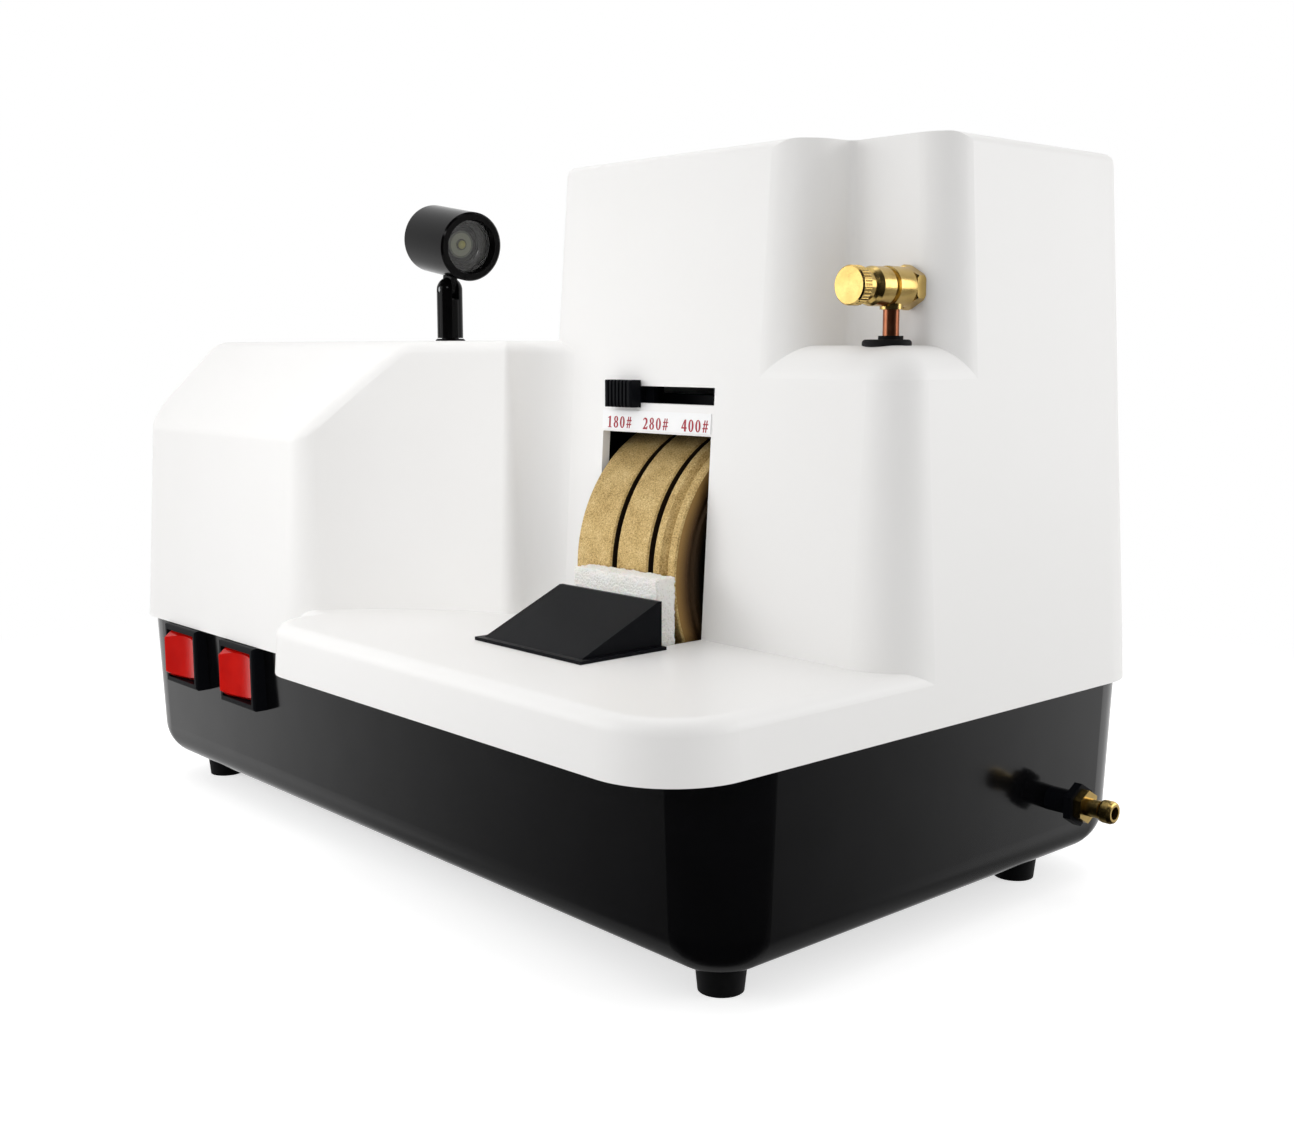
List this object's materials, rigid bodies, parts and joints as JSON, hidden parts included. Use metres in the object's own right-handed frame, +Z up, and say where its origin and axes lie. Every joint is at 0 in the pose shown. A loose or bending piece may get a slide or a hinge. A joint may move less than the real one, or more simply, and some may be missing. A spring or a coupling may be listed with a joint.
{
  "type": "optical lens edger",
  "caption": "Bench machine for edging spectacle lenses: white shell over a black tray, wet grinding wheels in a window, sponge, water tap, grit slider, lamp and rocker switches.",
  "frame": {"origin": "bottom centre of the whole machine, on the plane the feet stand on", "axes": "+Z up, +X to the operator's right, +Y away from the operator"},
  "size_m": [0.417, 0.2596, 0.2763],
  "materials": {
    "shell_plastic": "satin white moulding",
    "base_plastic": "glossy black moulding",
    "rubber": "matt black rubber",
    "screw_steel": "zinc plated",
    "plate_steel": "grey painted sheet",
    "motor_metal": "cast and machined",
    "core_steel": "laminated and ground steel",
    "wheel_bronze": "sintered diamond in bronze",
    "black_plastic": "fine textured black",
    "chamber_plastic": "dark grey moulding",
    "sponge_foam": "open white foam",
    "label_film": "printed film",
    "tank_plastic": "translucent white",
    "brass": "turned brass",
    "copper": "drawn copper",
    "rocker_red": "glossy red",
    "lamp_black": "black anodised",
    "chrome": "polished",
    "lamp_glass": "clear",
    "reflector": "bright reflector"
  },
  "bodies": {
    "housing": {"base_tray": "base_plastic", "upper_shell": "shell_plastic", "feet": "rubber", "foot_screws": "screw_steel", "shell_screws": "screw_steel", "chassis_plate": "plate_steel", "motor_cradle": "plate_steel", "motor_straps": "plate_steel", "motor_casing": "motor_metal", "motor_stator": "core_steel", "motor_end_bell_left": "motor_metal", "motor_end_bell_right": "motor_metal", "motor_bearing_left": "core_steel", "motor_bearing_right": "core_steel", "wheel_chamber": "chamber_plastic", "shaft_seal": "rubber", "sponge_holder": "black_plastic", "sponge": "sponge_foam", "slider_rail": "black_plastic", "grit_label": "label_film", "water_tank": "tank_plastic", "filler_ring": "black_plastic", "tap_body": "brass", "tap_nut": "brass", "tap_back_nut": "brass", "tap_bonnet": "brass", "copper_tube": "copper", "tube_grommet": "rubber", "switch_housing_1": "black_plastic", "switch_housing_2": "black_plastic", "lamp_bush": "chrome", "lamp_bush_nut": "chrome", "bulkhead_fitting": "black_plastic", "hose_barb": "brass", "drain_tube": "rubber", "power_gland": "black_plastic", "fitting_nuts": "black_plastic", "capacitor": "motor_metal", "terminal_block": "chamber_plastic"},
    "arbor": {"motor_rotor": "core_steel", "arbor_shaft": "core_steel", "wheel_coarse": "wheel_bronze", "wheel_medium": "wheel_bronze", "wheel_fine": "wheel_bronze", "wheel_spacers": "black_plastic", "wheel_flange_inner": "screw_steel", "wheel_flange_outer": "screw_steel", "arbor_nut": "screw_steel"},
    "selector": {"slider_knob": "black_plastic", "drip_carriage": "black_plastic"},
    "tap_handle": {"tap_knob": "brass"},
    "rocker_left": {"rocker_1": "rocker_red"},
    "rocker_right": {"rocker_2": "rocker_red"},
    "lamp_post": {"lamp_stem": "lamp_black", "lamp_pivot_screw": "screw_steel"},
    "lamp": {"lamp_head": "lamp_black", "lamp_lens": "lamp_glass", "lamp_led": "reflector"},
    "filler_lid": {"filler_cap": "tank_plastic"}
  },
  "joints": [
    {"name": "arbor_spin", "type": "hinge", "parent": "housing", "child": "arbor", "pos_m": [0.06902, 0.01457, 0.1192], "axis": [1, 0, 0], "continuous": true},
    {"name": "selector_slide", "type": "slide", "parent": "housing", "child": "selector", "axis": [1, 0, 0], "range_m": [0, 0.038]},
    {"name": "tap_turn", "type": "hinge", "parent": "housing", "child": "tap_handle", "pos_m": [0.16052, -0.02453, 0.2204], "axis": [0, -1, 0], "range_deg": [0, 540]},
    {"name": "rocker_left_tip", "type": "hinge", "parent": "housing", "child": "rocker_left", "pos_m": [-0.15348, -0.10353, 0.0644], "axis": [0, 0, 1], "range_deg": [-20, 0]},
    {"name": "rocker_right_tip", "type": "hinge", "parent": "housing", "child": "rocker_right", "pos_m": [-0.10078, -0.10353, 0.0644], "axis": [0, 0, 1], "range_deg": [-20, 0]},
    {"name": "lamp_swivel", "type": "hinge", "parent": "housing", "child": "lamp_post", "pos_m": [-0.11848, 0.01297, 0.2065], "axis": [0, 0, 1], "range_deg": [-170, 170]},
    {"name": "lamp_tilt", "type": "hinge", "parent": "lamp_post", "child": "lamp", "pos_m": [-0.11848, 0.01297, 0.2277], "axis": [0.1045, 0.9945, 0], "range_deg": [-60, 60]},
    {"name": "filler_lift", "type": "slide", "parent": "housing", "child": "filler_lid", "axis": [0, 0, 1], "range_m": [0, 0.02]}
  ]
}
